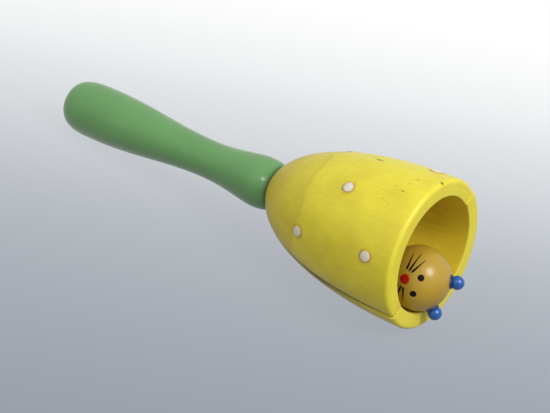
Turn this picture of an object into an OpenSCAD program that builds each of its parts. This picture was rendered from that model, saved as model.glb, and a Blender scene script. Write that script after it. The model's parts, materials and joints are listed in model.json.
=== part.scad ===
// Wooden hand bell with an animal's head for a clapper, lying on its side.
// The bell's own frame has its mouth at z = 0 and its handle towards +z, and its x is up once
// the bell lies down. A turn round that axis is counted from the top towards the front, -y.

/* [Bell] */
// Outside radius of the bell, where its curve starts
bell_r = 41.8; // [38:0.2:48]
// Length of the bell's curve, from the mouth to where it would close
bell_l = 105; // [98:0.5:120]
// Squareness of the bell's curve: 2 is an ellipse
bell_curve = 2.15; // [2:0.05:2.5]
// Wood beside the cavity at the mouth
mouth_wall = 9.2; // [8:0.1:11]
// Wood between the closed ends of the cavity's curve and of the bell's curve
crown_wall = 17; // [15:0.5:22]
// Rounding of the mouth's outer edge
lip_round = 2.4; // [1:0.1:3]
// Rounding of the mouth's inner edge
inner_round = 0.8; // [0.4:0.1:1.2]
// How far the back half stands out past the front half at the mouth
half_step_h = 0.5; // [0:0.1:1]
// Turn of the front half's crest from the top
bell_turn = 42; // [0:1:90]
// Depth of the groove along the glued seam
seam_depth = 0.5; // [0.2:0.1:1]
// Width of that groove at the mouth
seam_w = 0.7; // [0.4:0.1:1.2]
// Radius of the flat seat that the handle stands on
seat_r = 12.9; // [12:0.1:16]

/* [Dots] */
// Radius of a dot's peg
peg_r = 3; // [2:0.1:3.5]
// Depth of a peg's hole
peg_depth = 6; // [4:0.5:7]
// How far a peg's edge stands out
peg_edge = 0.1; // [0:0.05:0.3]
// Height of a peg's dome over that edge
peg_dome = 0.5; // [0.2:0.1:1]
// Width of the bare ring around a peg
ring_w = 0.8; // [0.4:0.1:1.2]
// Depth of the bare ring
ring_depth = 0.3; // [0.1:0.05:0.5]

/* [Handle] */
// Length of the handle outside the bell
handle_l = 148; // [135:1:165]
// Radius of the handle's foot on its seat
foot_r = 10.5; // [8:0.1:12]
// Distance from the seat to the collar
collar_x = 12; // [9:0.5:16]
// Radius of the collar
collar_r = 14.5; // [13:0.1:17]
// Distance from the seat to the neck
neck_x = 49; // [40:1:60]
// Radius of the neck
neck_r = 10.6; // [8:0.1:12]
// Distance from the seat to the fullest place of the grip
grip_x = 122.5; // [105:0.5:125]
// Radius of the grip there
grip_r = 15.6; // [13:0.1:18]
// Squareness of the rounded end: 2 is an ellipse
end_curve = 3.7; // [2:0.1:4.5]
// Radius of the spigot that is glued into the bell
spigot_r = 6; // [5:0.5:8]
// How far the spigot's end stands into the cavity
spigot_proud = 1; // [0.5:0.1:2]

/* [Head] */
// Radius of the wooden head
head_r = 17.5; // [14:0.1:18.5]
// Distance of the head's centre inside the mouth
head_in = 5.4; // [3:0.1:12]
// Gap between the head and the wall that it leans to
wall_gap = 0.3; // [0.2:0.05:1]
// Turn of the head's place from the top, beside the lowest line of the cavity
head_turn = 170; // [0:1:360]
// Sideways lean of the head on its pin
head_lean = -19.5; // [-25:0.5:10]
// Tip of the head towards the wall
head_tip = 23; // [0:0.5:30]
// Twist of the ears round the head's own axis
ear_twist = 92.5; // [0:0.5:180]

/* [Ears] */
// Radius of an ear's ball
ear_r = 3.8; // [3:0.1:5]
// Distance from the head's surface to the ball's centre
ear_out = 3.1; // [2.5:0.1:5]
// Angle of an ear from the top of the head
ear_lean = 29.7; // [26:0.1:40]
// Radius of the ear's round foot
ear_foot_r = 3.7; // [3:0.1:4.5]
// Thickness of that foot
ear_foot_h = 1.6; // [1:0.1:2.5]
// Depth of the flat seat that is cut into the head for the foot, below the foot's edge
ear_sink = 0.5; // [0.2:0.1:1]
// Width of the gap between the foot and the edge of its seat
ear_seat_gap = 0.4; // [0.2:0.1:0.8]
// Radius of the ear's shank
ear_shank_r = 1.5; // [1:0.1:2]
// Length of that shank in the head
ear_shank_l = 7; // [4:0.5:9]

/* [Wire and pins] */
// Radius of the bent wire
wire_r = 0.6; // [0.5:0.05:0.8]
// Radius of the wire's loops, to the middle of the wire
loop_r = 2.1; // [2:0.05:2.6]
// Radius of the bends beside the loops
bend_r = 4.2; // [3.8:0.1:5]
// How much of a turn a loop goes round its pin, in degrees
loop_turn = 285; // [240:5:290]
// Where the wire leaves the loop at the chin, in degrees round it
chin_turn = 75; // [0:5:355]
// Radius of the shanks of the crown pin and the chin pin
shank_r = 1.2; // [1:0.05:1.3]
// Radius of the pins' round heads
pin_head_r = 2; // [1.8:0.1:2.2]
// Height of those heads
pin_head_h = 1.2; // [0.8:0.1:1.6]
// Length of a shank that is held in the wood
shank_hold = 10; // [6:0.5:12]
// Radius of the loose washer under the loop at the crown
washer_r = 4; // [3:0.1:5]
// Thickness of that washer
washer_t = 0.8; // [0.5:0.1:1.2]

/* [Fits] */
// Gap beside what is glued or driven in
glue_gap = 0.04; // [0.02:0.01:0.1]
// Gap between the crown pin and its washer
turn_gap = 0.08; // [0.05:0.01:0.15]
// Gap left above and below a loop at its greatest tilt
loop_gap = 0.3; // [0.2:0.05:0.5]

/* [Hidden] */
$fn = 96;
// How far a cut runs past the face that it opens
overrun = 1;
// Steps in a long curve's outline, in a handle's stretch and in an edge's rounding
curve_steps = 28;
stretch_steps = 10;
round_steps = 5;
// How the neck's curve is drawn towards the collar
neck_share = 0.755;
// How far the wire bulges at a sharp bend
knuckle_h = 0.04;

// The five dots of each half: places as shares of the bell's curve, and turns from the crest
dot_shares = [0.158, 0.123, 0.408, 0.608, 0.613];
dot_turns = [41, -56, -2, 49.5, -58.5];
dots = len(dot_shares);

// The bell's curve and its cavity's, which is the same curve on smaller sizes
cavity_r = bell_r - mouth_wall;
cavity_l = bell_l - crown_wall;
spigot_hole_r = spigot_r + glue_gap;
lip_r = bell_at(lip_round);
seat_z = curve_height(seat_r, bell_r, bell_l);
hole_z = curve_height(spigot_hole_r, cavity_r, cavity_l);
spigot_end = hole_z - spigot_proud;
seam_angle = asin(seam_w / 2 / bell_r);

// Where the head lies, how far it swings and what room the tilting loop needs
head_out = cavity_r - head_r - wall_gap;
pivot_drop = loop_r * head_out / (spigot_end - head_in) + wire_r + loop_gap;
pivot_z = spigot_end - turn_gap - washer_t - pivot_drop;
swing = atan(head_out / (pivot_z - head_in));
head_centre = [head_out, 0, head_in];
head_angles = [180 + head_lean, head_tip, ear_twist];
chin_loop = head_r + loop_gap + wire_r;
ear_seat = sqrt(head_r * head_r - ear_foot_r * ear_foot_r) - ear_sink;
ear_reach = head_r + ear_out;
bend_end = [loop_r, bend_r, -bend_r];

// How the bell lies: it rests on the bell's curve and on the grip, and its box is centred
bell_line = bell_outline(-half_step_h);
handle_line = [for (p = handle_outline()) [p[0], p[1] + seat_z]];
tilt = lie_tilt(0, 45, 30);
axis_z = reach(bell_line, tilt);
ears_x = max([for (side = [-1, 1]) lie_turn(from_head(ear_centre(side))).x + ear_r]);
front_x = max(ears_x, lie_turn(from_head([0, 0, 0])).x + head_r, reach(bell_line, tilt - 90));
back_x = -reach(handle_line, 90 - tilt);
mouth_x = -(front_x + back_x) / 2;

// Height at which a curve of greatest radius r and length l has the radius a
function curve_height(a, r, l) = l * pow(1 - pow(a / r, bell_curve), 1 / bell_curve);
// Radius of the bell at the height z, and how fast that radius falls there
function bell_at(z) = bell_r * pow(1 - pow(z / bell_l, bell_curve), 1 / bell_curve);
function bell_fall(z) = bell_r / bell_l * pow(z / bell_l, bell_curve - 1)
    * pow(1 - pow(z / bell_l, bell_curve), 1 / bell_curve - 1);

// Points of that curve between the angles a and b, evenly round it
function curve_points(r, l, n, a, b, steps) = [for (i = [0:steps]) let (t = a + (b - a) * i / steps)
    [r * pow(cos(t), 2 / n), l * pow(sin(t), 2 / n)]];
function angle_at(z, l) = asin(pow(z / l, bell_curve / 2));
function arc_points(c, r, a, b) = [for (i = [0:round_steps]) let (t = a + (b - a) * i / round_steps)
    c + r * [cos(t), sin(t)]];

// Outline of one half of the bell, from the cavity round the mouth to the seat and the hole
function bell_outline(mouth_z) = concat(
    arc_points([cavity_r + inner_round, mouth_z + inner_round], inner_round, 180, 270),
    arc_points([lip_r - lip_round, mouth_z + lip_round], lip_round, 270, 360),
    curve_points(bell_r, bell_l, bell_curve, angle_at(lip_round, bell_l), angle_at(seat_z, bell_l),
        curve_steps),
    [[spigot_hole_r, seat_z]],
    curve_points(cavity_r, cavity_l, bell_curve, angle_at(hole_z, cavity_l),
        angle_at(inner_round, cavity_l), curve_steps));

// Outline of the handle outside the bell: rounded foot, neck, grip and rounded end
function ease(t) = (1 - cos(180 * t)) / 2;
function stretch(x0, r0, x1, r1, share) = [for (i = [1:stretch_steps]) let (t = i / stretch_steps)
    [r0 + (r1 - r0) * ease(pow(t, share)), x0 + (x1 - x0) * t]];
function handle_outline() = concat(
    [for (i = [0:round_steps]) let (t = 90 * i / round_steps)
        [foot_r + (collar_r - foot_r) * sin(t), collar_x * (1 - cos(t))]],
    stretch(collar_x, collar_r, neck_x, neck_r, neck_share),
    stretch(neck_x, neck_r, grip_x, grip_r, 1),
    [for (p = curve_points(grip_r, handle_l - grip_x, end_curve, 0, 90, curve_steps / 2))
        [p[0], p[1] + grip_x]]);

// How far an outline reaches down when its axis is turned by the angle a, and the angle at
// which the bell and the handle reach equally far
function reach(points, a) = max([for (p = points) p[0] * cos(a) + p[1] * sin(a)]);
function lie_tilt(low, high, n) = let (a = (low + high) / 2) n == 0 ? a
    : reach(bell_line, a) > reach(handle_line, a) ? lie_tilt(a, high, n - 1)
    : lie_tilt(low, a, n - 1);

// Turns of a point about the axes, and the places of points given in the head's frame
function turn_x(v, a) = [v.x, v.y * cos(a) - v.z * sin(a), v.y * sin(a) + v.z * cos(a)];
function turn_y(v, a) = [v.x * cos(a) + v.z * sin(a), v.y, v.z * cos(a) - v.x * sin(a)];
function turn_z(v, a) = [v.x * cos(a) - v.y * sin(a), v.x * sin(a) + v.y * cos(a), v.z];
function head_to_clapper(v) = head_centre
    + turn_z(turn_y(turn_x(v, head_angles[0]), head_angles[1]), head_angles[2]);
function from_head(v) = turn_z(head_to_clapper(v), -head_turn);
function lie_turn(v) = turn_y(v, -90 - tilt);
function ear_centre(side) = turn_x([0, 0, ear_reach], side * ear_lean);

// The bell lying down, and the frames of the clapper and of its head
module lying() { translate([mouth_x, 0, axis_z]) rotate([0, -90 - tilt, 0]) children(); }
module at_clapper() { lying() rotate([0, 0, -head_turn]) children(); }
module at_head() { at_clapper() translate(head_centre) rotate(head_angles) children(); }
module at_half(turn) { lying() rotate([0, 0, -bell_turn - turn]) children(); }

// A dot's place on a half: its z points straight out of the bell's surface
module at_dot(i) {
    z = dot_shares[i] * bell_l;
    rotate([0, 0, -dot_turns[i]]) translate([bell_at(z), 0, z])
        rotate([0, 90 - atan(bell_fall(z)), 0]) children();
}

module dot_hole() {
    translate([0, 0, -peg_depth - glue_gap]) cylinder(r = peg_r + glue_gap, h = peg_depth + overrun);
    translate([0, 0, -ring_depth]) cylinder(r = peg_r + ring_w, h = ring_depth + overrun);
}

// The strip that is cut away along a seam, on the side of the seam that the half lies on
module seam_groove() {
    line = concat([[lip_r + overrun, -half_step_h]],
        [for (p = curve_points(bell_r, bell_l, bell_curve, angle_at(lip_round, bell_l),
            angle_at(seat_z, bell_l), curve_steps)) [p[0] + overrun, p[1]]]);
    inner = [for (i = [len(line) - 1:-1:0]) [line[i][0] - overrun - seam_depth, line[i][1]]];
    rotate_extrude(angle = seam_angle) polygon(concat(line, inner));
}

module half(mouth_z) {
    color("gold") difference() {
        rotate([0, 0, -90]) rotate_extrude(angle = 180) polygon(bell_outline(mouth_z));
        rotate([0, 0, -90]) seam_groove();
        rotate([0, 0, 90 - seam_angle]) seam_groove();
        for (i = [0:dots - 1]) at_dot(i) dot_hole();
    }
}
module bell_front_half() { at_half(0) half(0); }
module bell_back_half() { at_half(180) half(-half_step_h); }

// A turned peg with a low dome, glued into its hole
module dot_peg(i) {
    dome = [for (k = [0:round_steps]) let (t = 90 * k / round_steps)
        [peg_r * cos(t), peg_edge + peg_dome * sin(t)]];
    at_half(i < dots ? 0 : 180) at_dot(i % dots) color("ivory")
        rotate_extrude() polygon(concat([[0, -peg_depth], [peg_r, -peg_depth]], dome));
}

module handle() {
    color("seagreen") lying() difference() {
        union() {
            translate([0, 0, seat_z]) rotate_extrude() polygon(concat([[0, 0]], handle_outline()));
            translate([0, 0, spigot_end]) cylinder(r = spigot_r, h = seat_z - spigot_end + foot_r);
        }
        translate([0, 0, spigot_end - overrun])
            cylinder(r = shank_r + glue_gap, h = shank_hold + glue_gap + overrun);
    }
}

// A round-headed pin that stands out of the wood at z = 0
module pin(stand) {
    dome = [for (k = [0:round_steps]) let (t = 90 * k / round_steps)
        [pin_head_r * cos(t), stand + pin_head_h * sin(t)]];
    rotate_extrude() polygon(concat([[0, -shank_hold], [shank_r, -shank_hold], [shank_r, stand]], dome));
}
module crown_pin() {
    color("silver") lying() translate([0, 0, spigot_end]) rotate([180, 0, 0])
        pin(spigot_end - pivot_z + pivot_drop);
}
module chin_pin() {
    color("silver") at_head() translate([0, 0, -head_r]) rotate([180, 0, 0])
        pin(chin_loop - head_r + wire_r + loop_gap);
}

module crown_washer() {
    color("goldenrod") lying() translate([0, 0, spigot_end - turn_gap - washer_t]) difference() {
        cylinder(r = washer_r, h = washer_t);
        translate([0, 0, -overrun]) cylinder(r = shank_r + turn_gap, h = washer_t + 2 * overrun);
    }
}

// A loop round a pin, which ends in a bend towards -z
module loop_end() {
    rotate([0, 0, -loop_turn]) rotate_extrude(angle = loop_turn) translate([loop_r, 0]) circle(r = wire_r);
    translate([loop_r, 0, -bend_r]) rotate([0, -90, 0])
        rotate_extrude(angle = 90) translate([bend_r, 0]) circle(r = wire_r);
    translate(bend_end) sphere(r = wire_r + knuckle_h);
}
module rod(a, b) {
    v = b - a;
    translate(a) rotate(a = acos(v.z / norm(v)), v = [-v.y, v.x, 0]) cylinder(r = wire_r, h = norm(v));
}
module clapper_wire() {
    top = [0, 0, pivot_z] + turn_y(bend_end, -swing);
    bottom = head_to_clapper([0, 0, -chin_loop] + turn_z(bend_end, chin_turn));
    color("silver") {
        at_clapper() translate([0, 0, pivot_z]) rotate([0, -swing, 0]) loop_end();
        at_head() translate([0, 0, -chin_loop]) rotate([0, 0, chin_turn]) loop_end();
        at_clapper() rod(top, bottom);
    }
}

// An ear is turned in one piece: a shank in the head, a round foot and a ball
module ear(side) {
    color("royalblue") at_head() rotate([side * ear_lean, 0, 0]) {
        translate([0, 0, ear_seat - ear_shank_l]) cylinder(r = ear_shank_r, h = ear_shank_l + ear_foot_h);
        translate([0, 0, ear_seat]) cylinder(r = ear_foot_r, h = ear_foot_h);
        intersection() {
            translate([0, 0, ear_reach]) sphere(r = ear_r);
            translate([0, 0, ear_seat]) cylinder(r = ear_r + overrun, h = 2 * ear_r + ear_reach);
        }
    }
}
module ear_left() { ear(-1); }
module ear_right() { ear(1); }

module mouse_head() {
    color("burlywood") at_head() difference() {
        sphere(r = head_r);
        translate([0, 0, -head_r - overrun])
            cylinder(r = shank_r + glue_gap, h = shank_hold + glue_gap + overrun);
        for (side = [-1, 1]) rotate([side * ear_lean, 0, 0]) translate([0, 0, ear_seat]) {
            translate([0, 0, -ear_shank_l - glue_gap])
                cylinder(r = ear_shank_r + glue_gap, h = ear_shank_l + glue_gap + overrun);
            cylinder(r = ear_foot_r + ear_seat_gap, h = head_r);
        }
    }
}

handle();
bell_front_half();
bell_back_half();
for (i = [0:2 * dots - 1]) dot_peg(i);
crown_pin();
crown_washer();
clapper_wire();
chin_pin();
mouse_head();
ear_left();
ear_right();
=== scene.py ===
"""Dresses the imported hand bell: lacquered wood, white pegs and a wooden head as its clapper.

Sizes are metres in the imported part's frame. The bell's own frame has its mouth at z = 0, its
handle towards +z and x up as the bell lies. The head's own frame has z at the top of the head
and x towards the face.
"""
import json
import math
from functools import partial

import bmesh
import bpy
import numpy as np
from bpy.props import FloatProperty, FloatVectorProperty, PointerProperty
from mathutils import Matrix


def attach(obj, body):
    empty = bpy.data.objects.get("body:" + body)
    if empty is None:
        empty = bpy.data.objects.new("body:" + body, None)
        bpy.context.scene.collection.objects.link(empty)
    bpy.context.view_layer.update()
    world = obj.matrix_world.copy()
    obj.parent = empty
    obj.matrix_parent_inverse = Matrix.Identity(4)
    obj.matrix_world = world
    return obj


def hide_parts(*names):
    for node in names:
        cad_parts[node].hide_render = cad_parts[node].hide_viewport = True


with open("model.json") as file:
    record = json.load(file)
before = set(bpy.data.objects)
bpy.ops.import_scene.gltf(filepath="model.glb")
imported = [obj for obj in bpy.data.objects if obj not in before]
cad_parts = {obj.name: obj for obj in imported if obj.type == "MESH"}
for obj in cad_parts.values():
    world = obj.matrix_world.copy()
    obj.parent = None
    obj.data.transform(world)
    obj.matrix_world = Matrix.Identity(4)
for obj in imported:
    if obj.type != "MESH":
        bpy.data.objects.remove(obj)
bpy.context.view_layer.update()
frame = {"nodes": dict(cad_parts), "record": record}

bl_info = {
    "name": "Hand bell",
    "version": (1, 0, 0),
    "blender": (4, 5, 0),
    "location": "3D View > Sidebar > Hand bell",
    "description": "Makes a wooden hand bell with a head for a clapper",
    "category": "Object",
}

RECORD = frame["record"]
JOINTS = {joint["name"]: joint for joint in RECORD["behaviour"]["joints"]}
MOUNTS = {mount["name"]: mount for mount in RECORD["mounts"]}
MM = 0.001

# Each half's five dots: places as shares of the bell's curve, and turns from its crest
DOT_SHARES = (0.158, 0.123, 0.408, 0.608, 0.613)
DOT_TURNS = (41.0, -56.0, -2.0, 49.5, -58.5)
# How the handle's neck is drawn towards its collar
NECK_SHARE = 0.755
# Steps round a turned piece, round a drilled hole, along the bell's curves and on a rounding
TURN_STEPS = 160
DRILL_STEPS = 64
CURVE_STEPS = 90
ROUND_STEPS = 8
# Sharpest angle that still shades as one smooth surface, in degrees
SMOOTH_ANGLE = 35.0
# Clearance between glued pieces, and how far a cutter stands past what it cuts
FIT = 0.04 * MM
PAST = 2 * MM
# How far from a seam the halves' small steps reach, and where their points beside it lie
STEP_REACH = 11 * MM
SEAM_PLACES_MM = (0, 0.1, 0.2, 0.32, 0.46, 0.62, 0.8, 1.2)
# Angle at which the foot's curve starts on the handle, and how far out its bead lies
FOOT_START = 0.4
BEAD_OUT = 1.2 * MM
# Height over which the painted shade on an ear's foot fades up its ball
EAR_SHADE_FADE = 1.2 * MM
# Sizes in the materials: the wood's streaks, mottling, specks and growth rings, and paint's bump
STREAK_LENGTH_MM = 28
MOTTLE_MM = 18
SPECK_CELL_MM = (7, 7, 11)
RING_MM = 0.7
PAINT_BUMP_MM = 0.01

# Flecks in the front half's lacquer: place in its frame, half length, half width and strength
FLECKS = (
    ((29.0, 26.1, 41.7), 2.6, 0.75, 1.0),
    ((26.2, 27.7, 46.8), 1.1, 0.45, 0.55),
    ((32.7, 26.0, 0.9), 1.4, 1.1, 1.0),
    ((33.6, 23.4, 6.6), 1.3, 0.45, 0.6),
    ((35.8, 21.1, 12.3), 1.4, 0.45, 0.6),
    ((38.1, 16.4, 13.7), 0.8, 0.45, 0.5),
    ((40.2, 10.5, 13.8), 1.3, 0.45, 0.6),
    ((39.4, 11.9, 19.2), 0.7, 0.45, 0.45),
    ((41.0, 2.4, 20.9), 0.6, 0.6, 0.35),
    ((41.3, -0.2, 16.0), 0.6, 0.6, 0.35),
)
# Where the growth rings show as ovals inside the back half, in mm, and which way its wall faces
RINGS_PLACE = (-17.5, 26.5, 22.0)
RINGS_NORMAL = (0.545, -0.834, -0.082)

# Paint on the head: places as (angle from the top, angle round from the face), in degrees
NOSE = (108.5, 2.0)
EYES = ((86.8, -17.0), (81.6, 14.4))
WHISKERS = (
    ((115.8, -14.0), (119.7, -31.9), (123.0, -52.6)),
    ((110.5, -14.5), (110.8, -33.7), (110.4, -56.3)),
    ((105.4, -15.0), (101.7, -30.7), (98.1, -47.5)),
    ((102.3, 15.3), (95.4, 26.8), (88.0, 41.0)),
    ((106.7, 16.0), (103.4, 30.3), (99.6, 48.5)),
    ((112.4, 16.9), (113.5, 32.0), (114.2, 50.5)),
)

# The camera: principal point in the middle of a 550 x 413 picture
CAMERA_LENS = 163.64
CAMERA_PLACE = (0.62308, -1.036206, 0.650176)
CAMERA_AXES = (
    (0.771998, -0.450189, 0.448719),
    (0.592835, 0.255333, -0.763775),
    (0.22927, 0.855649, 0.464004),
)

# The floor's tones: places from 0 to 1 over FLOOR_REACH metres along FLOOR_RUN
FLOOR_RUN = (-0.673, 0.74, 0.0)
FLOOR_REACH = (-0.25, 0.35)
FLOOR_TONES = ((0.0, "#8f949e"), (0.4, "#b2b7bf"), (0.68, "#e4e7e9"), (0.9, "#ffffff"))
FLOOR_HALF = 12.0
# How much of the floor's look is its own light
FLOOR_OWN_LIGHT = 0.92
# Lamps: name, place, diameter and watts
LAMPS = (
    ("right_lamp", (0.94, -0.17, 1.04), 0.56, 13.2),
    ("front_lamp", (-0.04, -1.04, 0.91), 0.36, 2.6),
)
LAMP_AIM = (0.05, 0.0, 0.04)


def unit(vector):
    """The vector at length 1."""
    vector = np.asarray(vector, float)
    return vector / np.linalg.norm(vector)


def frame_of(x, y, z, origin):
    """4x4 matrix of a frame from its axes and origin."""
    place = np.eye(4)
    place[:3, 0], place[:3, 1], place[:3, 2], place[:3, 3] = x, y, z, origin
    return place


def turned(axis, degrees):
    """4x4 matrix of a turn about "X", "Y" or "Z"."""
    return np.array(Matrix.Rotation(math.radians(degrees), 4, axis))


def bell_frame(half_step):
    """Frame of the bell from the clapper's orbit and the mouth's rim, half_step past the mouth."""
    pivot = np.array(JOINTS["clapper_orbit"]["pos_m"])
    out = unit(JOINTS["clapper_orbit"]["axis"])
    rim = np.array(MOUNTS["mouth_rim"]["pos_m"])
    mouth = pivot + out * ((rim - pivot) @ out - half_step)
    y = (0.0, 1.0, 0.0)
    return frame_of(np.cross(y, -out), y, -out, mouth)


def mesh_points(mesh):
    """A mesh's points, one in a row."""
    points = np.empty(len(mesh.vertices) * 3)
    mesh.vertices.foreach_get("co", points)
    return points.reshape(-1, 3)


def node_middle(name):
    """Mean of a CAD node's points."""
    return mesh_points(frame["nodes"][name].data).mean(axis=0)


def head_frame(chin_loop):
    """Frame of the head from its pin's axis and its ears, with its centre chin_loop up that axis."""
    z = unit(JOINTS["head_spin"]["axis"])
    across = node_middle("ear_left") - node_middle("ear_right")
    y = unit(across - z * (across @ z))
    centre = np.array(JOINTS["head_spin"]["pos_m"]) + z * chin_loop
    return frame_of(np.cross(y, z), y, z, centre)


def put(points, place):
    """Points of a frame in the part's frame."""
    return points @ place[:3, :3].T + place[:3, 3]


# Curves and surfaces


def superellipse(radius, length, squareness, start, end, steps):
    """Points (r, z) of (r / radius)^n + (z / length)^n = 1, evenly in its angle."""
    t = np.linspace(start, end, steps + 1)
    r = radius * np.clip(np.cos(t), 0, 1) ** (2 / squareness)
    z = length * np.clip(np.sin(t), 0, 1) ** (2 / squareness)
    return np.stack([r, z], axis=1)


def angle_at(z, length, squareness):
    """Angle of that curve at the height z."""
    return math.asin((z / length) ** (squareness / 2))


def curve_radius(z, radius, length, squareness):
    """Radius of that curve at the height z."""
    return radius * (1 - (z / length) ** squareness) ** (1 / squareness)


def curve_height(r, radius, length, squareness):
    """Height at which that curve has the radius r."""
    return length * (1 - (r / radius) ** squareness) ** (1 / squareness)


def curve_fall(z, radius, length, squareness):
    """How fast that radius falls with z."""
    share = z / length
    return radius / length * share ** (squareness - 1) * (1 - share**squareness) ** (1 / squareness - 1)


def arc(r, z, radius, start, end, steps=ROUND_STEPS):
    """Points of a circle's arc about (r, z), with its angles in degrees."""
    t = np.radians(np.linspace(start, end, steps + 1))
    return np.stack([r + radius * np.cos(t), z + radius * np.sin(t)], axis=1)


def stretch(z0, r0, z1, r1, share=1.0, steps=40):
    """Profile that eases from r0 to r1: r = r0 + (r1 - r0) (1 - cos(pi t^share)) / 2."""
    t = np.linspace(0, 1, steps + 1)[1:]
    ease = (1 - np.cos(np.pi * t**share)) / 2
    return np.stack([r0 + (r1 - r0) * ease, z0 + (z1 - z0) * t], axis=1)


def grid_faces(rows, columns, close_rows=False, close_columns=False):
    """Quads between neighbouring points of a grid, closed on itself where asked."""
    i = np.arange(rows if close_rows else rows - 1)[:, None]
    j = np.arange(columns if close_columns else columns - 1)
    here, down, right = i * columns, (i + 1) % rows * columns, (j + 1) % columns
    corners = here + j, down + j, down + right, here + right
    return np.stack(corners, axis=-1).reshape(-1, 4)


def revolve(profile, steps=TURN_STEPS):
    """Points and quads of a profile (r, z) turned round z: (r cos a, r sin a, z)."""
    a = np.linspace(0, 2 * np.pi, steps, endpoint=False)
    r, z = profile[:, :1], profile[:, 1:]
    points = np.stack([r * np.cos(a), r * np.sin(a), np.repeat(z, steps, axis=1)], axis=-1)
    return points.reshape(-1, 3), grid_faces(len(profile), steps, close_columns=True)


def new_object(name, data, place):
    """Object in the scene, with the frame place."""
    made = bpy.data.objects.new(name, data)
    made.matrix_world = Matrix(place.tolist())
    bpy.context.scene.collection.objects.link(made)
    return made


def make_piece(name, points, faces, materials, face_material=None):
    """Mesh object at the origin, with doubles merged, faces outward and smooth shading."""
    mesh = bpy.data.meshes.new(name)
    mesh.from_pydata(points.tolist(), [], [list(map(int, face)) for face in faces])
    for material in materials:
        mesh.materials.append(material)
    if face_material is not None:
        mesh.polygons.foreach_set("material_index", np.asarray(face_material, np.int32))
    work = bmesh.new()
    work.from_mesh(mesh)
    bmesh.ops.remove_doubles(work, verts=work.verts, dist=1e-7)
    bmesh.ops.dissolve_degenerate(work, edges=work.edges, dist=1e-8)
    bmesh.ops.recalc_face_normals(work, faces=work.faces)
    work.to_mesh(mesh)
    work.free()
    finish_shading(mesh)
    return new_object(name, mesh, np.eye(4))


def finish_shading(mesh):
    """Smooth shading that breaks at edges sharper than SMOOTH_ANGLE."""
    mesh.shade_smooth()
    mesh.set_sharp_from_angle(angle=math.radians(SMOOTH_ANGLE))
    mesh.update()


def cut(piece, cutter):
    """Takes the cutter out of a piece; the cut faces keep the cutter's material."""
    boolean = piece.modifiers.new("cut", "BOOLEAN")
    boolean.operation = "DIFFERENCE"
    boolean.solver = "EXACT"
    boolean.material_mode = "TRANSFER"
    boolean.object = cutter
    shape = bpy.data.meshes.new_from_object(piece.evaluated_get(bpy.context.evaluated_depsgraph_get()))
    piece.modifiers.clear()
    old, piece.data = piece.data, shape
    bpy.data.meshes.remove(old)
    bpy.data.objects.remove(cutter)
    shape.name = piece.name
    finish_shading(shape)


def hand_in(piece, body, slot, *nodes):
    """The piece rides on a body and stands for CAD nodes, which it hides; slot is not used."""
    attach(piece, body)
    if nodes:
        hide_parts(*nodes)


# Materials


def linear(hex_colour):
    """sRGB hex to linear RGB: ((c + 0.055) / 1.055)^2.4, or c / 12.92 in the darks."""
    c = np.array([int(hex_colour[i : i + 2], 16) for i in (1, 3, 5)]) / 255
    return tuple(np.where(c <= 0.04045, c / 12.92, ((c + 0.055) / 1.055) ** 2.4).tolist())


def rgba(colour):
    """Linear colour with full alpha, from sRGB hex or linear RGB."""
    return (*(linear(colour) if isinstance(colour, str) else colour[:3]), 1.0)


def add_node(tree, kind, inputs=(), **settings):
    """Adds one node with its settings and links.

    inputs gives sockets a value, an output or a node, in order or by number or name. A node
    stands for its first output in use.
    """
    node = tree.nodes.new("ShaderNode" + kind)
    for name, value in settings.items():
        setattr(node, name, value)
    for name, value in inputs.items() if isinstance(inputs, dict) else enumerate(inputs):
        if isinstance(value, bpy.types.Node):
            value = next(output for output in value.outputs if output.enabled)
        if isinstance(value, bpy.types.NodeSocket):
            tree.links.new(value, node.inputs[name])
        else:
            node.inputs[name].default_value = value
    return node


def with_nodes(data):
    """A new material or world without nodes, and the function that adds one to it."""
    data.use_nodes = True
    data.node_tree.nodes.clear()
    return data, partial(add_node, data.node_tree)


def add_surface(add, colour, rough, uneven, depth, shader):
    """Ends a material with its shader, under a bump from uneven that is depth mm high."""
    bump = add("Bump", {"Height": uneven, "Distance": depth * MM})
    surface = add(
        "BsdfPrincipled",
        {
            "Base Color": colour,
            "Roughness": rough,
            "Metallic": shader.get("metal", 0.0),
            "Specular IOR Level": shader.get("specular", 0.5),
            "Coat Weight": shader.get("coat", 0.0),
            "Coat Roughness": shader.get("coat_rough", 0.05),
            "Normal": bump,
        },
    )
    add("OutputMaterial", (surface,))


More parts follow.
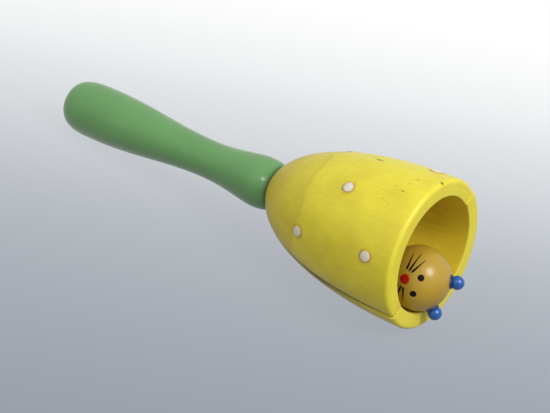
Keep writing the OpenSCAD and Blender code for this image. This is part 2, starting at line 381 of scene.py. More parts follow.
def lacquered_wood(
    name, place, colours, shader, grain_mm=0.9, streak=0.16, depth=0.02, specks=None, extra=None
):
    """Turned wood, bare or lacquered, with its grain along the z of the frame place.

    Fine streaks grain_mm wide and a slow mottling mix the shade into the light colour, and
    specks gives dark flecks by share and colour. extra(add, local, colour) may change the colour.
    """
    light, shade = colours
    material, add = with_nodes(bpy.data.materials.new(name))
    matrix = Matrix(place.tolist())
    coords = add("TexCoord").outputs["Object"]
    to_frame = coords, matrix.to_translation(), matrix.to_euler(), (MM, MM, MM)
    # Object coordinates in the frame of the piece, in millimetres
    local = add("Mapping", to_frame, vector_type="TEXTURE")
    narrow = (1 / grain_mm, 1 / grain_mm, 1 / STREAK_LENGTH_MM)
    streaks = add("Mapping", {"Vector": local, "Scale": narrow})
    fine = add("TexNoise", {"Vector": streaks, "Scale": 1.0, "Detail": 3.0})
    slow = add("TexNoise", {"Vector": local, "Scale": 1 / MOTTLE_MM, "Detail": 3.0})
    fine_share = add("MapRange", (fine, 0.35, 0.75, 0.0, streak))
    slow_share = add("MapRange", (slow, 0.35, 0.7, 0.0, 0.42))
    share = add("Math", (fine_share, slow_share))
    colour = add("Mix", {0: share, 6: rgba(light), 7: rgba(shade)}, data_type="RGBA")
    if specks:
        amount, fleck = specks
        cell = tuple(1 / size for size in SPECK_CELL_MM)
        cells = add("Mapping", {"Vector": local, "Scale": cell})
        points = add("TexVoronoi", {"Vector": cells, "Scale": 1.0})
        near = add("MapRange", (points, 0.05, 0.09, 1.0, 0.0))
        chosen = add("Math", (points.outputs["Color"], amount), operation="LESS_THAN")
        speck = add("Math", (near, chosen), operation="MULTIPLY")
        colour = add("Mix", {0: speck, 6: colour, 7: rgba(fleck)}, data_type="RGBA")
    if extra:
        colour = extra(add, local, colour)
    rough = shader["rough"]
    uneven_rough = add("MapRange", (slow, 0.3, 0.7, rough - 0.04, rough + 0.06))
    add_surface(add, colour, uneven_rough, fine, depth, shader)
    return material


def plain_coat(name, colours, shader, pattern_mm=1.2, wear_and_shade=None):
    """Paint or metal with a faint unevenness pattern_mm wide between two colours.

    A third colour takes over where the attribute edge_share of the mesh nears 1: wear on the
    pegs' edges, and painted shade on the ears' feet.
    """
    light, shade = colours
    material, add = with_nodes(bpy.data.materials.new(name))
    coords = add("TexCoord").outputs["Object"]
    noise = add("TexNoise", {"Vector": coords, "Scale": 1 / (pattern_mm * MM)})
    colour = add("Mix", {0: noise, 6: rgba(light), 7: rgba(shade)}, data_type="RGBA")
    if wear_and_shade:
        edge = add("Attribute", attribute_name="edge_share").outputs["Fac"]
        uneven = add("Math", (noise, 0.12), operation="MULTIPLY")
        place = add("Math", (edge, uneven))
        share = add("MapRange", (place, 0.86, 1.0, 0.0, 0.9))
        colour = add("Mix", {0: share, 6: colour, 7: rgba(wear_and_shade)}, data_type="RGBA")
    add_surface(add, colour, shader["rough"], noise, PAINT_BUMP_MM, shader)
    return material


def seam_and_rim(add, local, colour):
    """Glue shows light where the seam crosses the rim, and dirt with painted shade lies along it outside.

    The seam is the plane x = 0 of the half's frame, and the rim lies below z = 1 mm. The rim
    keeps fine rings from the turning tool, 0.7 mm apart, and its inner edge is worn paler.
    """
    x, y, z = add("SeparateXYZ", (local,)).outputs
    off = add("Math", (x,), operation="ABSOLUTE")
    flat = add("CombineXYZ", (x, y))
    radius = add("VectorMath", (flat,), operation="LENGTH")
    at_rim = add("MapRange", (z, 0.3, 1.2, 1.0, 0.0))
    rings = add("TexNoise", {"W": radius, "Scale": 1.5}, noise_dimensions="1D")
    tooled = add("MapRange", (rings, 0.45, 0.75, 0.0, 0.45))
    wear_and_shade = add("MapRange", (radius, 33.0, 33.5, 0.12, 0.0))
    # A light glue line, and at the lower seam, y < 0, a dark line on the front half's side:
    # the seam's gap with painted shadow in it
    glue = add("MapRange", (off, 0.1, 0.3, 0.32, 0.0))
    lower = add("MapRange", (y, -30.0, -25.0, 0.6, 0.0))
    gap_shadow_place = add("Math", (x, 0.4), operation="SUBTRACT")
    gap_shadow_off = add("Math", (gap_shadow_place,), operation="ABSOLUTE")
    gap_shadow_line = add("MapRange", (gap_shadow_off, 0.1, 0.3, 1.0, 0.0))
    gap_and_shadow = add("Math", (gap_shadow_line, lower), operation="MULTIPLY")
    for share, tone in ((tooled, "#b8a92e"), (wear_and_shade, "#e8dd80"), (glue, "#efe36c"), (gap_and_shadow, "#6f6214")):
        here = add("Math", (share, at_rim), operation="MULTIPLY")
        colour = add("Mix", {0: here, 6: colour, 7: rgba(tone)}, data_type="RGBA")
    # Dirt and painted shade lie on the front half's side, x > 0, and the back half's ledge catches
    # the light, but towards the crown they spread over both; the upper seam, y > 0, has little of them
    dirt_and_shade = add("MapRange", (off, 2.1, 3.8, 0.93, 0.0))
    front = add("MapRange", (x, 0.0, 0.04, 0.0, 1.0))
    high = add("MapRange", (z, 16.0, 48.0, 0.0, 0.75))
    reach = add("Math", (front, high), operation="MAXIMUM")
    above = add("MapRange", (z, 1.5, 14.0, 0.1, 1.0))
    below = add("MapRange", (z, 50.0, 90.0, 1.0, 0.15))
    side = add("MapRange", (y, -6.0, 6.0, 1.0, 0.3))
    for share in (reach, above, below, side):
        dirt_and_shade = add("Math", (dirt_and_shade, share), operation="MULTIPLY")
    return add("Mix", {0: dirt_and_shade, 6: colour, 7: rgba("#35270a")}, data_type="RGBA")


def peg_stains(add, local, colour, pegs):
    """Lacquer stained round the drilled pegs, fading 1.6 mm out from their bare rings.

    The back half is the front one turned half round, so points with x < 0 are turned back.
    """
    x = add("SeparateXYZ", (local,)).outputs[0]
    side = add("Math", (x,), operation="SIGN")
    turn = add("CombineXYZ", (side, side, 1.0))
    front = add("VectorMath", (local, turn), operation="MULTIPLY")
    nearest = 100.0
    for peg in pegs:
        apart = add("VectorMath", (front, peg), operation="DISTANCE")
        nearest = add("Math", (apart, nearest), operation="MINIMUM")
    ring = add("MapRange", (nearest, 3.8, 5.4, 0.45, 0.0))
    blotch = add("TexNoise", {"Vector": local, "Scale": 1 / 4, "Detail": 1.0})
    part = add("MapRange", (blotch, 0.38, 0.6, 0.25, 1.0))
    share = add("Math", (ring, part), operation="MULTIPLY")
    return add("Mix", {0: share, 6: colour, 7: rgba("#b8862a")}, data_type="RGBA")


def lacquer_marks(add, local, colour, pegs):
    """Darkens the crown, where the coat ran thin, the flecks and round the pegs, then the seam."""
    z = add("SeparateXYZ", (local,)).outputs[2]
    noise = add("TexNoise", {"Vector": local, "Scale": 1 / 14, "Detail": 1.0})
    waver = add("Math", (noise, 16.0), operation="MULTIPLY")
    height = add("Math", (z, waver))
    # The coat steps down at the crown's edge, and is thinnest beside the step and at the top
    step = add("MapRange", (height, 73.0, 74.8, 0.0, 0.21))
    fall = add("MapRange", (height, 74.8, 81.0, 1.0, 0.6))
    top = add("MapRange", (height, 84.0, 98.0, 0.0, 0.16))
    thin = add("Math", (step, fall, top), operation="MULTIPLY_ADD")
    colour = add("Mix", {0: thin, 6: colour, 7: rgba("#93701a")}, data_type="RGBA")
    marked = 0.0
    for place, half_length, half_width, strength in FLECKS:
        # 1 at the fleck's edge
        size = (half_width, half_width, half_length)
        to_fleck = {"Vector": local, "Location": place, "Scale": size}
        about = add("Mapping", to_fleck, vector_type="TEXTURE")
        apart = add("VectorMath", (about,), operation="LENGTH")
        mark = add("MapRange", (apart, 0.4, 1.3, strength, 0.0))
        marked = add("Math", (mark, marked), operation="MAXIMUM")
    colour = add("Mix", {0: marked, 6: colour, 7: rgba("#57400a")}, data_type="RGBA")
    return seam_and_rim(add, local, peg_stains(add, local, colour, pegs))


def joint_dirt_and_shade(add, local, colour, seat):
    """Dirt and painted shade in the joint of the handle's foot and the bell, from the height seat up."""
    z = add("SeparateXYZ", (local,)).outputs[2]
    share = add("MapRange", (z, seat + 0.8, seat + 2.8, 0.75, 0.0))
    return add("Mix", {0: share, 6: colour, 7: rgba("#2a4012")}, data_type="RGBA")


def growth_rings(add, local, colour):
    """Growth rings RING_MM apart, as planes across RINGS_NORMAL bent a little by noise.

    A wave's bands are 0.314 / scale apart. Where the hollow lies along the planes, they show
    as ovals, and they fade away from there.
    """
    normal = unit(RINGS_NORMAL)
    across = unit(np.cross((0.0, 0.0, 1.0), normal))
    turn = Matrix(np.stack([normal, across, np.cross(normal, across)], axis=1).tolist())
    to_planes = {"Vector": local, "Rotation": turn.to_euler()}
    depth = add("Mapping", to_planes, vector_type="TEXTURE")
    bent = {"Vector": depth, "Scale": 0.314 / RING_MM, "Distortion": 2.5, "Detail Scale": 0.16}
    rings = add("TexWave", bent, wave_type="BANDS", bands_direction="X").outputs["Fac"]
    about = add("VectorMath", (local, RINGS_PLACE), operation="DISTANCE")
    strength = add("MapRange", (about, 5.0, 15.0, 0.2, 0.0))
    share = add("Math", (rings, strength), operation="MULTIPLY")
    return add("Mix", {0: share, 6: colour, 7: rgba("#8f6c14")}, data_type="RGBA")


# What a user may change


def length(name, description, default):
    """A size in metres."""
    return FloatProperty(name=name, description=description, default=default, unit="LENGTH", precision=5)


def angle(name, description, degrees):
    """An angle from its degrees."""
    return FloatProperty(
        name=name, description=description, default=math.radians(degrees), subtype="ANGLE"
    )


def colour(name, description, default):
    """A colour from its sRGB hex value."""
    return FloatVectorProperty(
        name=name, description=description, default=linear(default), subtype="COLOR", size=3, min=0, max=1
    )


class BellSizes(bpy.types.PropertyGroup):
    """Sizes of the bell's body, its handle and its pegs."""

    bell_r: length("Bell radius", "Outside radius at the mouth", 0.0418)
    bell_l: length("Curve length", "From the mouth to the curve's closed end", 0.105)
    bell_curve: FloatProperty(name="Squareness", description="2 is an ellipse", default=2.15)
    mouth_wall: length("Mouth wall", "Wood beside the cavity at the mouth", 0.0092)
    crown_wall: length("Crown wall", "Wood between the two curves' closed ends", 0.017)
    lip_round: length("Lip rounding", "Rounding of the mouth's outer edge", 0.0024)
    inner_round: length("Inner rounding", "Rounding of the mouth's inner edge", 0.0008)
    half_step: length("Step", "How far the back half stands out at the mouth", 0.0005)
    bell_turn: angle("Turn", "Turn of the front half's crest from the top", 42)
    seam_depth: length("Seam depth", "Depth of the groove along the glued seam", 0.0007)
    seam_w: length("Seam width", "Width of that groove", 0.0016)
    front_in: length("Front step", "How far the front half draws in beside the seams", 0.0011)
    back_out: length("Back step", "How far the back half's cavity widens beside the seams", 0.0006)
    seat_r: length("Seat radius", "Flat seat that the handle stands on", 0.0129)
    peg_r: length("Peg radius", "Radius of a dot's peg", 0.003)
    peg_depth: length("Peg depth", "Depth of a peg's hole", 0.006)
    peg_edge: length("Peg edge", "How far a peg's edge stands out", 0.0001)
    peg_dome: length("Peg dome", "Height of a peg's dome", 0.0006)
    ring_w: length("Ring width", "Width of the bare ring round a peg", 0.0008)
    ring_depth: length("Ring depth", "Depth of the bare ring", 0.00012)
    handle_l: length("Handle length", "Length of the handle outside the bell", 0.148)
    foot_r: length("Foot radius", "Radius of the handle's foot", 0.0105)
    bead_r: length("Bead radius", "Radius of the lacquer bead under the foot's edge", 0.0005)
    collar_x: length("Collar place", "From the seat to the collar", 0.012)
    collar_r: length("Collar radius", "Radius of the collar", 0.0145)
    neck_x: length("Neck place", "From the seat to the neck", 0.049)
    neck_r: length("Neck radius", "Radius of the neck", 0.0106)
    grip_x: length("Grip place", "From the seat to the fullest grip", 0.1225)
    grip_r: length("Grip radius", "Radius of the grip", 0.0156)
    end_curve: FloatProperty(name="End squareness", description="2 is an ellipse", default=3.7)
    spigot_r: length("Spigot radius", "Radius of the spigot in the bell", 0.006)
    spigot_proud: length("Spigot end", "How far the spigot stands into the cavity", 0.001)


class HeadSizes(bpy.types.PropertyGroup):
    """Sizes of the head, its ears and its paint."""

    head_r: length("Head radius", "Radius of the wooden head", 0.0175)
    chin_loop: length("Chin loop", "From the head's centre to the wire's lower loop", 0.0184)
    ear_r: length("Ear radius", "Radius of an ear's ball", 0.0038)
    ear_out: length("Ear reach", "From the head's surface to the ball's centre", 0.0031)
    ear_lean: angle("Ear lean", "Angle of an ear from the top of the head", 29.7)
    ear_foot_r: length("Foot radius", "Radius of the ear's round foot", 0.0037)
    ear_foot_h: length("Foot height", "Thickness of that foot", 0.0016)
    ear_sink: length("Seat depth", "Depth of the seat below the foot's edge", 0.0005)
    ear_seat_gap: length("Seat gap", "Gap between the foot and its seat's edge", 0.0004)
    ear_shank_r: length("Shank radius", "Radius of the ear's shank", 0.0015)
    ear_shank_l: length("Shank length", "Length of the shank in the head", 0.007)
    nose_r: length("Nose radius", "Radius of the painted nose", 0.0027)
    eye_r: length("Eye radius", "Radius of a painted eye", 0.0018)
    whisker_w: length("Whisker width", "Width of a painted whisker", 0.0014)
    paint_t: length("Paint thickness", "How far the paint stands out", 0.00012)


class BellColours(bpy.types.PropertyGroup):
    """Colours of the finishes."""

    yellow: colour("Yellow", "Lacquer of the bell", "#dbd037")
    yellow_shade: colour("Yellow shade", "Lacquer over darker grain", "#bfad29")
    cavity: colour("Cavity", "Thin lacquer inside the bell", "#e6cf37")
    green: colour("Green", "Lacquer of the handle", "#609456")
    green_shade: colour("Green shade", "The same over darker grain", "#55864e")
    bare: colour("Bare wood", "Wood in the rings where the lacquer is cut away", "#c09d63")
    white: colour("White", "Lacquer of the pegs", "#d7d4c7")
    head: colour("Head", "Clear lacquer over the wood of the head", "#ab8d2c")
    blue: colour("Blue", "Lacquer of the ears", "#165aa9")
    red: colour("Red", "Paint of the nose", "#b5120d")
    black: colour("Black", "Paint of the eyes and whiskers", "#170b0a")


def outside_curve(sizes):
    """Radius, length and squareness of the bell's curve."""
    return sizes.bell_r, sizes.bell_l, sizes.bell_curve


def cavity_curve(sizes):
    """Radius, length and squareness of the cavity's curve."""
    return sizes.bell_r - sizes.mouth_wall, sizes.bell_l - sizes.crown_wall, sizes.bell_curve


def seat_height(sizes):
    """Height of the flat seat of the handle."""
    return curve_height(sizes.seat_r, *outside_curve(sizes))


def spigot_end(sizes):
    """Height of the spigot's end in the cavity."""
    return curve_height(sizes.spigot_r, *cavity_curve(sizes)) - sizes.spigot_proud


def half_frame(sizes, turn=0.0):
    """Frame of a half: its x is at the half's crest."""
    return bell_frame(sizes.half_step) @ turned("Z", -math.degrees(sizes.bell_turn) - turn)


def dot_frame(sizes, index):
    """Frame of a dot in its half: z points out of the bell's surface."""
    z = DOT_SHARES[index] * sizes.bell_l
    curve = outside_curve(sizes)
    lean = 90 - math.degrees(math.atan(curve_fall(z, *curve)))
    out = frame_of(*np.eye(3), (curve_radius(z, *curve), 0, z))
    return turned("Z", -DOT_TURNS[index]) @ out @ turned("Y", lean)


def ear_seat(sizes):
    """Height of an ear's seat over the head's centre."""
    return math.sqrt(sizes.head_r**2 - sizes.ear_foot_r**2) - sizes.ear_sink


def ear_frame(sizes, side):
    """Frame of the head leaned over to an ear, whose side is -1 or 1."""
    return head_frame(sizes.chin_loop) @ turned("X", side * math.degrees(sizes.ear_lean))


# The pieces


class HANDBELL_OT_handle(bpy.types.Operator):
    """Turned handle with a rounded foot, a waisted neck, a full grip and a rounded end"""

    bl_idname = "handbell.handle"
    bl_label = "Handle"

    def execute(self, context):
        sizes, colours = context.scene.bell_sizes, context.scene.bell_colours
        place = bell_frame(sizes.half_step)
        seat, end = seat_height(sizes), spigot_end(sizes)
        soft = 0.3 * MM
        t = np.linspace(FOOT_START, np.pi / 2, 27)
        foot_r = sizes.foot_r + (sizes.collar_r - sizes.foot_r) * np.sin(t)
        foot = np.stack([foot_r, sizes.collar_x * (1 - np.cos(t))], axis=1)
        # Lacquer that pooled under the foot's edge
        bead = sizes.bead_r
        pooled = arc(sizes.foot_r + BEAD_OUT, bead, bead, -90, 60)
        neck = stretch(sizes.collar_x, sizes.collar_r, sizes.neck_x, sizes.neck_r, NECK_SHARE)
        grip = stretch(sizes.neck_x, sizes.neck_r, sizes.grip_x, sizes.grip_r, steps=60)
        end_l = sizes.handle_l - sizes.grip_x
        closing = superellipse(sizes.grip_r, end_l, sizes.end_curve, 0, np.pi / 2, 60)[1:]
        outside = np.concatenate([pooled, foot, neck, grip, closing + (0, sizes.grip_x)])
        spigot = arc(sizes.spigot_r - soft, end + soft, soft, -90, 0, 4)
        profile = np.concatenate([[(0, end)], spigot, [(sizes.spigot_r, seat)], outside + (0, seat)])
        # Beech, turned and dipped in green lacquer: a soft gloss with the grain barely through it
        green = lacquered_wood(
            "green_lacquered_beech",
            place,
            (colours.green, colours.green_shade),
            {"rough": 0.36, "specular": 0.35, "coat": 0.55, "coat_rough": 0.06},
            grain_mm=1.1,
            # Dirt and painted shade darken the foot where it meets the bell
            extra=lambda *here: joint_dirt_and_shade(*here, seat / MM),
        )
        # The spigot is beech as it left the lathe: matt and tan
        tan = "#c2a068", "#9c7b45"
        bare = lacquered_wood("bare_turned_beech", place, tan, {"rough": 0.65, "specular": 0.3})
        points, faces = revolve(profile)
        materials = np.arange(len(faces)) < TURN_STEPS * (len(profile) - len(outside) - 1)
        piece = make_piece("turned_handle", put(points, place), faces, [green, bare], materials)
        hand_in(piece, "bell", "handle_lacquer", "handle")
        return {"FINISHED"}


def half_profile(sizes, mouth):
    """Closed outline (r, z) of a half, its groove shares and where its outside ends.

    It runs round the mouth's two roundings, up the outer curve to the seat and the spigot's
    hole, and down the cavity's curve. mouth is the height of this half's rim.
    """
    outside, hollow = outside_curve(sizes), cavity_curve(sizes)
    seat, hole_r = seat_height(sizes), sizes.spigot_r + FIT
    inner_r, lip_r = sizes.inner_round, sizes.lip_round
    inner = arc(hollow[0] + inner_r, mouth + inner_r, inner_r, 180, 270)
    lip = arc(curve_radius(lip_r, *outside) - lip_r, mouth + lip_r, lip_r, 270, 360, 12)
    hole_z = curve_height(hole_r, *hollow)
    turns = angle_at(lip_r, *outside[1:]), angle_at(seat, *outside[1:])
    outer = superellipse(*outside, *turns, CURVE_STEPS)
    turns = angle_at(hole_z, *hollow[1:]), angle_at(inner_r, *hollow[1:])
    cavity = superellipse(*hollow, *turns, CURVE_STEPS)
    outer = outer[1:] if mouth == 0 else outer
    profile = np.concatenate([inner, lip, outer, [(hole_r, seat)], cavity])
    shares = np.linspace(0, 1, len(lip)), np.ones(len(outer)), np.zeros(1 + len(cavity))
    grooved = np.concatenate([np.zeros(len(inner)), *shares])
    return profile, grooved, len(inner) + len(lip) + len(outer)


def half_shell(sizes, mouth):
    """Points, faces and face materials of a half: its profile turned from -90 to 90 degrees.

    Near both ends the outside drops by depth (1 - s / w)^2, with s the distance from the seam
    and w half the groove's width, and a third as deep on the back half. The halves don't match
    there: the front one's outside draws in by front_in and the back one's cavity widens by
    back_out, both times (1 - s / STEP_REACH)^2 and falling evenly from the mouth to the seat.
    A flat face closes each end.
    """
    profile, grooved, outside = half_profile(sizes, mouth)
    near = np.array(SEAM_PLACES_MM) * MM / sizes.bell_r
    middle = np.linspace(-np.pi / 2, np.pi / 2, 91)[1:-1]
    a = np.concatenate([-np.pi / 2 + near, middle, (np.pi / 2 - near)[::-1]])
    from_seam = np.minimum(a + np.pi / 2, np.pi / 2 - a) * sizes.bell_r
    front = mouth == 0
    depth = sizes.seam_depth if front else sizes.seam_depth / 3
    drop = depth * np.clip(1 - from_seam / (sizes.seam_w / 2), 0, 1) ** 2
    beside = np.clip(1 - from_seam / STEP_REACH, 0, 1) ** 2
    low = np.clip(1 - profile[:, 1] / seat_height(sizes), 0, 1)
    r = profile[:, :1] - grooved[:, None] * drop
    if front:
        r = r - sizes.front_in * (grooved * low)[:, None] * beside
    else:
        hollow = (np.arange(len(profile)) > outside) | (np.arange(len(profile)) <= ROUND_STEPS)
        r = r + sizes.back_out * (hollow * low)[:, None] * beside
    z = np.repeat(profile[:, 1:], len(a), axis=1)
    points = np.stack([r * np.cos(a), r * np.sin(a), z], axis=-1).reshape(-1, 3)
    rows, columns = len(profile), len(a)
    ends = [range(start, rows * columns, columns) for start in (0, columns - 1)]
    # The rim and the outside are lacquered alike, the cavity is coated thinner
    row = np.append(np.repeat(np.arange(rows), columns - 1), [0, 0])
    return points, [*grid_faces(rows, columns, close_rows=True), *ends], row >= outside


class HANDBELL_OT_halves(bpy.types.Operator):
    """The bell's body: two turned and hollowed halves, with drilled holes for the pegs"""

    bl_idname = "handbell.halves"
    bl_label = "Bell halves"

    def execute(self, context):
        sizes, colours = context.scene.bell_sizes, context.scene.bell_colours
        crest, dots = half_frame(sizes), range(len(DOT_SHARES))
        pegs = [tuple(dot_frame(sizes, dot)[:3, 3] / MM) for dot in dots]
        # Beech, turned and dipped in yellow lacquer, with the grain faintly through it
        yellow = lacquered_wood(
            "yellow_lacquered_beech",
            crest,
            (colours.yellow, colours.yellow_shade),
            {"rough": 0.42, "specular": 0.35, "coat": 0.1, "coat_rough": 0.2},
            streak=0.3,
            depth=0.012,
            specks=(0.1, "#6b4a12"),
            extra=lambda *here: lacquer_marks(*here, pegs),
        )
        # The same lacquer run thin over the hollowed wood: darker, with its growth rings
        inside = lacquered_wood(
            "thin_yellow_lacquer_on_beech",
            crest,
            (colours.cavity, "#cfb32c"),
            {"rough": 0.55, "specular": 0.3},
            extra=growth_rings,
        )
        # Beech that the drill left bare: matt and tan
        tan = colours.bare, "#9a7a45"
        bare = lacquered_wood("bare_drilled_beech", crest, tan, {"rough": 0.7})
        deep, bore_r = -sizes.peg_depth - FIT, sizes.peg_r + FIT
        ring_r = sizes.peg_r + sizes.ring_w
        bore = [(0, deep), (bore_r, deep), (bore_r, -sizes.ring_depth)]
        bore += [(ring_r, -sizes.ring_depth), (ring_r, PAST), (0, PAST)]
        drill, drill_faces = revolve(np.array(bore), DRILL_STEPS)
        for name, node, turn, mouth in (
            ("front_bell_half", "bell_front_half", 0.0, 0.0),
            ("back_bell_half", "bell_back_half", 180.0, -sizes.half_step),
        ):
            place = half_frame(sizes, turn)
            points, faces, materials = half_shell(sizes, mouth)
            piece = make_piece(name, put(points, place), faces, [yellow, inside, bare], materials)
            drills = np.concatenate([put(drill, place @ dot_frame(sizes, dot)) for dot in dots])
            quads = np.concatenate([drill_faces + dot * len(drill) for dot in dots])
            cut(piece, make_piece("drills", drills, quads, [bare]))
            hand_in(piece, "bell", "bell_lacquer", node)
        return {"FINISHED"}


class HANDBELL_OT_pegs(bpy.types.Operator):
    """Ten turned pegs with low domes, glued into the holes of the halves"""

    bl_idname = "handbell.pegs"
    bl_label = "Pegs"

    def execute(self, context):
        sizes, colours = context.scene.bell_sizes, context.scene.bell_colours
        # White lacquered dowel ends: slightly uneven, with a soft gloss
        white = plain_coat(
            "white_lacquered_dowel",
            (colours.white, "#ccc6b5"),
            {"rough": 0.35, "coat": 0.3, "coat_rough": 0.1},
            wear_and_shade="#c2ab7c",
        )
        t = np.linspace(0, np.pi / 2, 13)
        dome = np.stack([sizes.peg_r * np.cos(t), sizes.peg_edge + sizes.peg_dome * np.sin(t)], axis=1)
        profile = np.concatenate([[(0, -sizes.peg_depth), (sizes.peg_r, -sizes.peg_depth)], dome])
        points, faces = revolve(profile, DRILL_STEPS)
        count = len(DOT_SHARES)
        for index in range(2 * count):
            place = half_frame(sizes, 180.0 * (index // count)) @ dot_frame(sizes, index % count)
            piece = make_piece(f"white_peg_{index + 1}", put(points, place), faces, [white])
            mark_edge(piece, place, lambda at: np.hypot(at[:, 0], at[:, 1]) / sizes.peg_r)
            hand_in(piece, "bell", "peg_lacquer", f"dot_peg_{index + 1}")
        return {"FINISHED"}


def mark_edge(piece, place, share_of):
    """Attribute edge_share: share_of the points in the frame place, from 0 to 1 at the edge."""
    share = share_of((mesh_points(piece.data) - place[:3, 3]) @ place[:3, :3])
    piece.data.attributes.new("edge_share", "FLOAT", "POINT").data.foreach_set("value", share)


def on_ball(polar, round_, radius):
    """Points of a ball by their angles from its top and round from its face."""
    direction = [np.sin(polar) * np.cos(round_), np.sin(polar) * np.sin(round_), np.cos(polar)]
    return radius * np.stack(direction, axis=-1)


def paint_dot(place, radius, head_r, thickness):
    """Closed cap of paint: rises as thickness sqrt(1 - s^4) over the ball, with s from 0 to 1.

    Its edge wavers by 1 + 0.02 sin 3a + 0.015 sin(5a + 1).
    """
    s = np.concatenate([np.linspace(0, 0.9, 9), [0.95, 0.985, 1.0], [1.0, 0.0]])
    rise = thickness * np.sqrt(1 - s**4)
    rise[-2:] = -thickness
    a = np.linspace(0, 2 * np.pi, 48, endpoint=False)
    angle = s[:, None] * radius / head_r * (1 + 0.02 * np.sin(3 * a) + 0.015 * np.sin(5 * a + 1))
    points = on_ball(angle, a, (head_r + rise)[:, None, None]).reshape(-1, 3)
    polar, round_ = place
    quads = grid_faces(len(s), len(a), close_columns=True)
    return put(points, turned("Z", round_) @ turned("Y", polar)), quads


def paint_line(places, width, head_r, thickness):
    """Closed brush line over the ball along a parabola through three places.

    Its half width is width / 2 (1 - 0.75 t) sqrt(min(1, 8 t + 0.1)), fine at its far end, and
    its section is a low dome.
    """
    t = np.linspace(0, 1, 33)
    weights = [(1 - t) * (1 - 2 * t), 4 * t * (1 - t), t * (2 * t - 1)]
    spine = np.transpose(weights) @ [on_ball(*np.radians(place), head_r) for place in places]
    out = spine / np.linalg.norm(spine, axis=1, keepdims=True)
    along = np.gradient(spine, axis=0)
    side = np.cross(out, along)
    side /= np.linalg.norm(side, axis=1, keepdims=True)
    half = width / 2 * (1 - 0.75 * t) * np.sqrt(np.minimum(1, 8 * t + 0.1))
    section = np.array([(-1, -1), (-1, 0), (-0.5, 0.8), (0, 1), (0.5, 0.8), (1, 0), (1, -1)])
    across, up = section[:, 0], section[:, 1]
    points = out[:, None] * (head_r + thickness * up)[:, None]
    points += side[:, None] * (half[:, None] * across)[..., None]
    rows, columns = points.shape[:2]
    faces = list(grid_faces(rows, columns, close_columns=True))
    faces += [range(columns), range((rows - 1) * columns, rows * columns)]
    return points.reshape(-1, 3), faces


class HANDBELL_OT_head(bpy.types.Operator):
    """The head: a wooden ball with seats for the ears and a painted face"""

    bl_idname = "handbell.head"
    bl_label = "Head"

    def execute(self, context):
        sizes, colours = context.scene.head_sizes, context.scene.bell_colours
        place = head_frame(sizes.chin_loop)
        ball = arc(0, 0, sizes.head_r, -90, 90, 96)
        ball[[0, -1], 0] = 0
        # Beech ball, turned and dipped in clear lacquer: honey colour, glossy, fine grain
        wood = lacquered_wood(
            "clear_lacquered_beech",
            place @ turned("X", 62) @ turned("Y", 20),
            (colours.head, "#967725"),
            {"rough": 0.38, "specular": 0.25, "coat": 0.34, "coat_rough": 0.2},
            grain_mm=0.6,
            specks=(0.05, "#7c5a1c"),
        )
        points, faces = revolve(ball)
        head = make_piece("head_ball", put(points, place), faces, [wood])
        seat, bore_r = ear_seat(sizes), sizes.ear_foot_r + sizes.ear_seat_gap
        bore = [(0, seat), (bore_r, seat), (bore_r, 2 * sizes.head_r), (0, 2 * sizes.head_r)]
        drill, drill_faces = revolve(np.array(bore), DRILL_STEPS)
        for side in (-1, 1):
            drilled = put(drill, ear_frame(sizes, side))
            cut(head, make_piece("seat_drill", drilled, drill_faces, [wood]))
        hand_in(head, "head", "head_wood", "mouse_head")
        # Brushed enamel: thin, glossy and opaque
        red = plain_coat("red_enamel", (colours.red, "#850d0a"), {"rough": 0.4, "specular": 0.25})
        black = plain_coat("black_enamel", (colours.black, "#140b0a"), {"rough": 0.5, "specular": 0.12})
        paint = sizes.head_r, sizes.paint_t
        pieces = [("painted_nose", paint_dot(NOSE, sizes.nose_r, *paint), red)]
        for index, eye in enumerate(EYES):
            pieces.append((f"painted_eye_{index + 1}", paint_dot(eye, sizes.eye_r, *paint), black))
        for index, places in enumerate(WHISKERS):
            line = paint_line(places, sizes.whisker_w, *paint)
            pieces.append((f"painted_whisker_{index + 1}", line, black))
        for name, (dots, quads), material in pieces:
            hand_in(make_piece(name, put(dots, place), quads, [material]), "head", "head_wood")
        return {"FINISHED"}


class HANDBELL_OT_ears(bpy.types.Operator):
    """Two turned ears: a ball on a round foot, with a shank in the head"""

    bl_idname = "handbell.ears"
    bl_label = "Ears"

    def execute(self, context):
        sizes, colours = context.scene.head_sizes, context.scene.bell_colours
        # Turned beads under full-gloss blue lacquer
        blue = plain_coat(
            "blue_gloss_lacquer",
            (colours.blue, "#0f4588"),
            {"rough": 0.32, "specular": 0.4, "coat": 0.36, "coat_rough": 0.17},
            pattern_mm=3.0,
            # Painted shade on the foot and under the ball
            wear_and_shade="#132a55",
        )
        seat, centre = ear_seat(sizes), sizes.head_r + sizes.ear_out
        top, end = seat + sizes.ear_foot_h, seat - sizes.ear_shank_l
        soft = 0.25 * MM
        start = math.degrees(math.asin((top - centre) / sizes.ear_r))
        shank = [(0, end), (sizes.ear_shank_r, end), (sizes.ear_shank_r, seat), (sizes.ear_foot_r, seat)]
        foot = arc(sizes.ear_foot_r - soft, top - soft, soft, 0, 90, 5)
        profile = np.concatenate([shank, foot, arc(0, centre, sizes.ear_r, start, 90, 40)])
        profile[-1, 0] = 0
        points, faces = revolve(profile, 96)
        for name, side in (("ear_left", -1), ("ear_right", 1)):
            lean = ear_frame(sizes, side)
            piece = make_piece("blue_" + name, put(points, lean), faces, [blue])
            # Painted shade: the lacquer is darker on the foot and under the ball, where shade falls
            mark_edge(piece, lean, lambda at: np.clip(1.02 + (top - at[:, 2]) / EAR_SHADE_FADE, 0, 1.02))
            hand_in(piece, "head", "ear_lacquer", name)
        return {"FINISHED"}


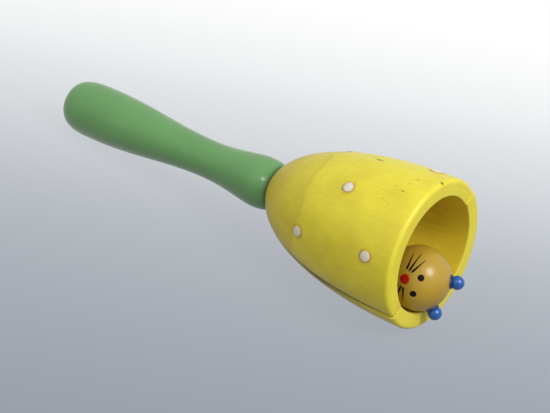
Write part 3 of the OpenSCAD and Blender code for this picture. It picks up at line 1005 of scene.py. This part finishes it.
class HANDBELL_OT_hanging(bpy.types.Operator):
    """Finishes of the pins, the washer and the bent wire that carry the head"""

    bl_idname = "handbell.hanging"
    bl_label = "Pins, washer and wire"

    def execute(self, context):
        # Drawn steel wire: bright, with a soft sheen from the die
        steel = plain_coat("drawn_steel_wire", ("#b9b8b4", "#8f8e8a"), {"rough": 0.32, "metal": 1.0}, 0.8)
        # Stamped brass: yellow and a little dull
        brass = plain_coat("stamped_brass", ("#c9a557", "#a8843c"), {"rough": 0.38, "metal": 1.0}, 0.8)
        metals = {"crown_pin": steel, "chin_pin": steel, "clapper_wire": steel, "crown_washer": brass}
        for name, material in metals.items():
            for slot in frame["nodes"][name].material_slots:
                slot.material = material
        return {"FINISHED"}


# Floor, light and camera


def studio_floor():
    """Floor sheet whose pale grey runs from cool below to white above, as the camera sees it.

    The gradient is a function of the place on the floor. Camera, gloss and transmission rays
    see mostly the gradient's own light. The rest is lit, so the object's shadow stays.
    """
    material, add = with_nodes(bpy.data.materials.new("pale_paper_sweep"))
    coords = add("TexCoord").outputs["Object"]
    along = add("VectorMath", (coords, FLOOR_RUN), operation="DOT_PRODUCT")
    share = add("MapRange", (along, *FLOOR_REACH))
    ramp = add("ValToRGB", (share,))
    ramp.color_ramp.interpolation = "B_SPLINE"
    stops = ramp.color_ramp.elements
    for place, tone in FLOOR_TONES:
        stop = stops[0] if place == 0 else stops.new(place)
        stop.position, stop.color = place, rgba(tone)
    stops[-1].color = rgba("#ffffff")
    path = add("LightPath")
    seen = path.outputs["Is Camera Ray"]
    for ray in ("Is Glossy Ray", "Is Transmission Ray"):
        seen = add("Math", (seen, path.outputs[ray]), operation="MAXIMUM")
    # What the floor throws back on the object is dim, as over a sheet of glass
    tone = add("Mix", {0: seen, 6: rgba("#87817a"), 7: ramp}, data_type="RGBA")
    lit = add("BsdfDiffuse", (tone,))
    shown = add("Emission", (ramp,))
    part = add("Math", (seen, FLOOR_OWN_LIGHT), operation="MULTIPLY")
    mix = add("MixShader", (part, lit, shown))
    add("OutputMaterial", (mix,))
    return material


class HANDBELL_OT_stage(bpy.types.Operator):
    """Floor, soft studio lamps and the camera"""

    bl_idname = "handbell.stage"
    bl_label = "Stage"

    def execute(self, context):
        corners = FLOOR_HALF * np.array([(-1, -1, 0), (1, -1, 0), (1, 1, 0), (-1, 1, 0)])
        floor = make_piece("floor", corners, [[0, 1, 2, 3]], [studio_floor()])
        for name, place, size, watts in LAMPS:
            lamp = bpy.data.lights.new(name, "AREA")
            lamp.shape, lamp.size, lamp.energy = "DISK", size, watts
            back = unit(np.subtract(place, LAMP_AIM))
            side = unit(np.cross((0.0, 0.0, 1.0), back))
            new_object(name, lamp, frame_of(side, np.cross(back, side), back, place))
        context.scene.world, add = with_nodes(bpy.data.worlds.new("studio_room"))
        add("OutputWorld", (add("Background", (rgba("#f2f1ef"), 0.8)),))
        place = frame_of(*np.transpose(CAMERA_AXES), CAMERA_PLACE)
        camera = new_object("camera", bpy.data.cameras.new("camera"), place)
        camera.data.lens = CAMERA_LENS
        camera.data.sensor_width = 36.0
        camera.data.clip_end = 50.0
        context.scene.camera = camera
        context.scene.view_settings.view_transform = "Standard"
        return {"FINISHED"}


class HANDBELL_PT_panel(bpy.types.Panel):
    """Lists the steps that make the bell"""

    bl_label = "Hand bell"
    bl_space_type = "VIEW_3D"
    bl_region_type = "UI"
    bl_category = "Hand bell"

    def draw(self, context):
        for step in STEPS:
            self.layout.operator(step.bl_idname)
        for group in (context.scene.bell_sizes, context.scene.head_sizes, context.scene.bell_colours):
            for name in group.__annotations__:
                self.layout.prop(group, name)


GROUPS = (("bell_sizes", BellSizes), ("head_sizes", HeadSizes), ("bell_colours", BellColours))
STEPS = (
    HANDBELL_OT_stage,
    HANDBELL_OT_handle,
    HANDBELL_OT_halves,
    HANDBELL_OT_pegs,
    HANDBELL_OT_head,
    HANDBELL_OT_ears,
    HANDBELL_OT_hanging,
)


def register():
    """Registers the groups, the operators and the panel."""
    for name, group in GROUPS:
        bpy.utils.register_class(group)
        setattr(bpy.types.Scene, name, PointerProperty(type=group))
    for step in STEPS + (HANDBELL_PT_panel,):
        bpy.utils.register_class(step)


def unregister():
    """Takes them back."""
    for step in (HANDBELL_PT_panel,) + STEPS[::-1]:
        bpy.utils.unregister_class(step)
    for name, group in GROUPS[::-1]:
        delattr(bpy.types.Scene, name)
        bpy.utils.unregister_class(group)


def main():
    """Makes the bell step by step."""
    register()
    for step in STEPS:
        group, name = step.bl_idname.split(".")
        getattr(getattr(bpy.ops, group), name)()


if __name__ == "__main__":
    main()
